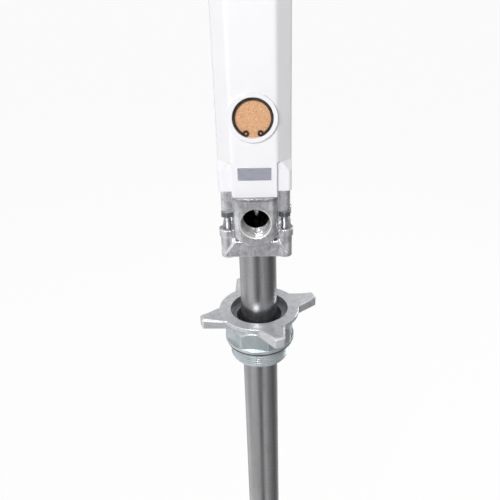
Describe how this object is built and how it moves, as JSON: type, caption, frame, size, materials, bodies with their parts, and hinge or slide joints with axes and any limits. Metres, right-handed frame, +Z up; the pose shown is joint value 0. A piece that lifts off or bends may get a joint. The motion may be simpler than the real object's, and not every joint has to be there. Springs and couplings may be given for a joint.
{
  "type": "pneumatic drum oil pump",
  "caption": "Air-driven piston pump on a long suction tube, with a screwed adapter and star nut that clamp it in a drum's bung and a threaded oil outlet at the front.",
  "frame": {"origin": "on the tube's axis, in the plane where the adapter's gasket seats on the bung", "axes": "+Z up along the tube, -Y towards the front with the oil outlet and the silencer, +X to the right of someone who faces the outlet"},
  "size_m": [0.1154, 0.1154, 1.2255],
  "materials": {
    "black_rubber": "matte",
    "zinc_steel": "satin",
    "star_nut_metal": "satin",
    "cast_aluminium": "satin",
    "tube_steel": "satin",
    "ptfe": "satin",
    "brass": "satin",
    "bronze": "satin",
    "screw_steel": "satin",
    "white_paint": "satin",
    "sintered_bronze": "matte",
    "black_steel": "satin",
    "plate_aluminium": "satin",
    "rod_chrome": "polished",
    "turned_aluminium": "satin"
  },
  "bodies": {
    "adapter": {"adapter_body": "zinc_steel", "bung_gasket": "black_rubber"},
    "washer": {"thrust_washer": "zinc_steel"},
    "nut": {"star_nut": "star_nut_metal"},
    "grip": {"grip_ring": "black_rubber"},
    "pump": {"outlet_body": "cast_aluminium", "pump_tube": "tube_steel", "tube_o_ring": "black_rubber", "gland_packing": "ptfe", "gland_nut": "brass", "gland_bush": "bronze", "motor_o_ring": "black_rubber", "tie_bolts": "screw_steel", "tie_nuts": "zinc_steel", "motor_housing": "white_paint", "silencer_disc": "sintered_bronze", "silencer_circlip": "black_steel", "front_plate": "plate_aluminium", "valve_sleeve": "brass", "valve_plugs": "brass", "rod_guide": "bronze", "rod_seal": "black_rubber", "bumper_rings": "black_rubber", "foot_valve_body": "tube_steel", "foot_ball_pin": "screw_steel", "suction_strainer": "tube_steel", "top_cap": "cast_aluminium", "cap_o_ring": "black_rubber", "cap_screws": "screw_steel"},
    "rod": {"piston_rod": "rod_chrome", "air_piston": "turned_aluminium", "air_piston_seal": "black_rubber", "piston_nut": "zinc_steel", "rod_coupling": "screw_steel", "pump_rod": "tube_steel", "pump_piston": "tube_steel", "pump_piston_seal": "ptfe"},
    "spool": {"valve_spool": "rod_chrome"},
    "pump_ball": {"pump_piston_ball": "rod_chrome"},
    "foot_ball": {"foot_ball": "rod_chrome"}
  },
  "joints": [
    {"name": "washer_lift", "type": "slide", "parent": "adapter", "child": "washer", "axis": [0, 0, 1], "range_m": [0, 0.004]},
    {"name": "star_nut_turn", "type": "hinge", "parent": "washer", "child": "nut", "pos_m": [0, 0, 0.02], "axis": [0, 0, 1], "range_deg": [0, 720]},
    {"name": "grip_swivel", "type": "hinge", "parent": "adapter", "child": "grip", "pos_m": [0, 0, 0.0075], "axis": [0, 0, 1], "continuous": true},
    {"name": "pump_depth", "type": "slide", "parent": "grip", "child": "pump", "axis": [0, 0, 1], "range_m": [-0.068, 0.75]},
    {"name": "rod_stroke", "type": "slide", "parent": "pump", "child": "rod", "axis": [0, 0, 1], "range_m": [0, 0.08]},
    {"name": "spool_shift", "type": "slide", "parent": "pump", "child": "spool", "axis": [1, 0, 0], "range_m": [0, 0.00575]},
    {"name": "pump_ball_lift", "type": "slide", "parent": "rod", "child": "pump_ball", "axis": [0, 0, 1], "range_m": [0, 0.004]},
    {"name": "foot_ball_lift", "type": "slide", "parent": "pump", "child": "foot_ball", "axis": [0, 0, 1], "range_m": [0, 0.0035]}
  ],
  "couplings": [
    {"joint": "washer_lift", "follows": "star_nut_turn", "m_per_rad": 0.00031831}
  ]
}
